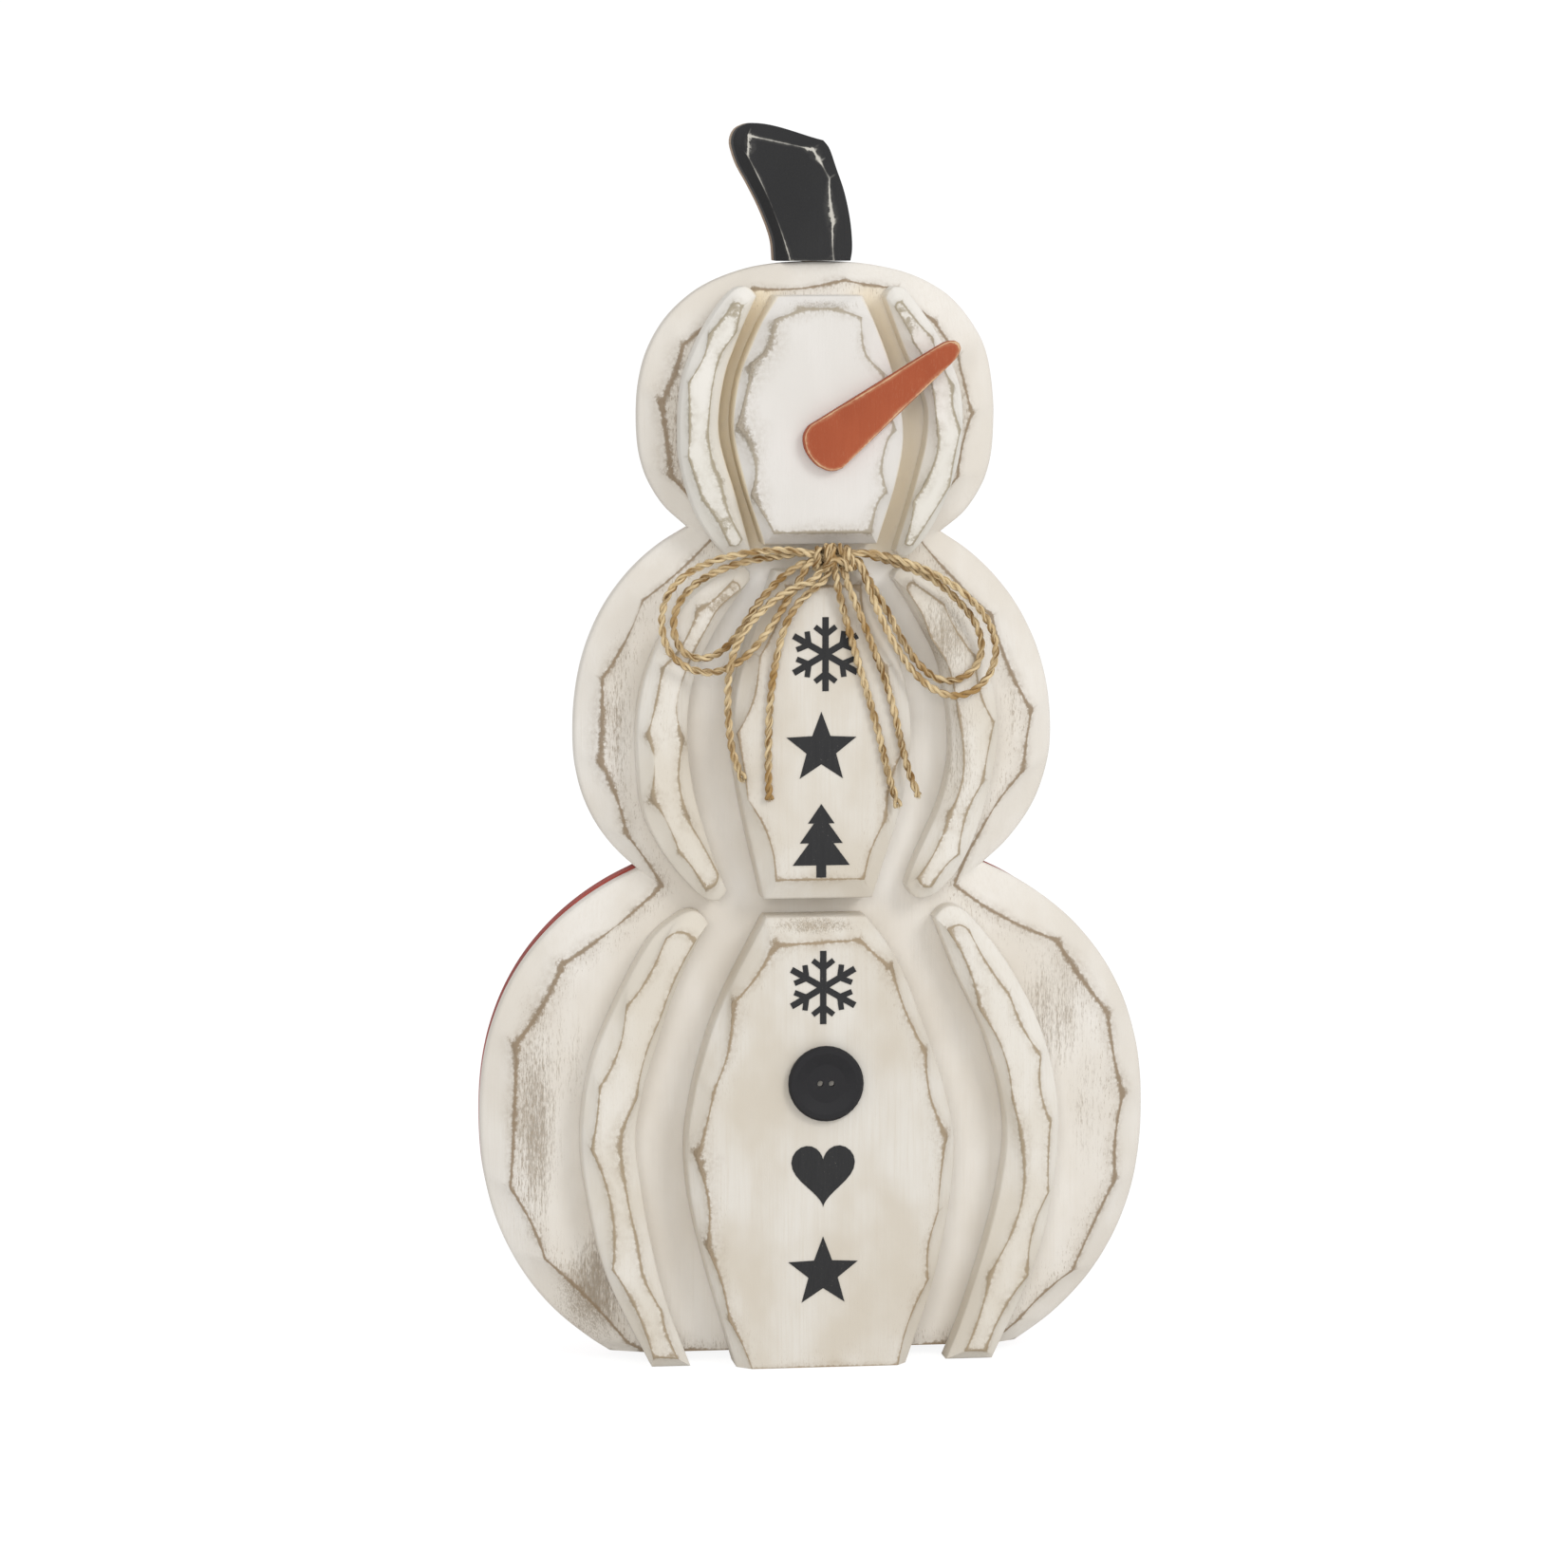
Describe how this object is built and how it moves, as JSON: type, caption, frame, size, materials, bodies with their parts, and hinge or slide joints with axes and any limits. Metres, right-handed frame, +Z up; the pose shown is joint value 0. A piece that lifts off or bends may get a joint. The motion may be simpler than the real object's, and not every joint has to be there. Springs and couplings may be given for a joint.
{
  "type": "wooden snowman figure",
  "caption": "Free-standing two-sided wooden snowman of stacked round lobes, with whittled ribs, a stem, a carrot nose, a coat button and a twine bow.",
  "frame": {"origin": "on the floor under the middle of the figure's width and depth, bow left out", "axes": "+Z up, -Y out of the cream front with the nose and button, +X to the right seen from the front"},
  "size_m": [0.3294, 0.1009, 0.6071],
  "materials": {
    "cream_paint": "worn matt cream paint, rubbed back to brown along the edges",
    "brick_paint": "worn matt brick red paint",
    "black_paint": "worn matt black paint",
    "tan_paint": "worn matt tan paint",
    "carrot_paint": "matt burnt orange paint",
    "button": "matt black, dished",
    "jute": "natural two-ply jute twine",
    "steel": "bright wire",
    "dowel_wood": "bare wood"
  },
  "bodies": {
    "root": {"front_board": "cream_paint", "front_head_left_rib": "cream_paint", "front_head_right_rib": "cream_paint", "front_middle_left_rib": "cream_paint", "front_middle_right_rib": "cream_paint", "front_base_left_rib": "cream_paint", "front_base_right_rib": "cream_paint", "front_head_centre_panel": "cream_paint", "front_middle_centre_panel": "cream_paint", "front_base_centre_panel": "cream_paint", "back_board": "brick_paint", "back_head_left_rib": "brick_paint", "back_head_right_rib": "brick_paint", "back_middle_left_rib": "brick_paint", "back_middle_right_rib": "brick_paint", "back_base_left_rib": "brick_paint", "back_base_right_rib": "brick_paint", "back_head_centre_panel": "brick_paint", "back_middle_centre_panel": "brick_paint", "back_base_centre_panel": "brick_paint", "front_stem": "black_paint", "back_stem": "tan_paint", "carrot_nose": "carrot_paint", "coat_button": "button", "bow_knot": "jute", "bow_left_outer_loop": "jute", "bow_left_inner_loop": "jute", "bow_right_outer_loop": "jute", "bow_right_inner_loop": "jute", "bow_left_long_tail": "jute", "bow_left_short_tail": "jute", "bow_right_short_tail": "jute", "bow_right_long_tail": "jute", "bow_pin": "steel", "front_head_left_rib_brad": "steel", "front_head_right_rib_brad": "steel", "front_middle_left_rib_brad": "steel", "front_middle_right_rib_brad": "steel", "front_base_left_rib_brad": "steel", "front_base_right_rib_brad": "steel", "front_head_centre_panel_brad": "steel", "front_middle_centre_panel_brad": "steel", "front_base_centre_panel_brad": "steel", "back_head_left_rib_brad": "steel", "back_head_right_rib_brad": "steel", "back_middle_left_rib_brad": "steel", "back_middle_right_rib_brad": "steel", "back_base_left_rib_brad": "steel", "back_base_right_rib_brad": "steel", "back_head_centre_panel_brad": "steel", "back_middle_centre_panel_brad": "steel", "back_base_centre_panel_brad": "steel", "front_stem_dowel": "dowel_wood", "back_stem_dowel": "dowel_wood", "upper_board_dowel": "dowel_wood", "lower_board_dowel": "dowel_wood"}
  },
  "joints": []
}
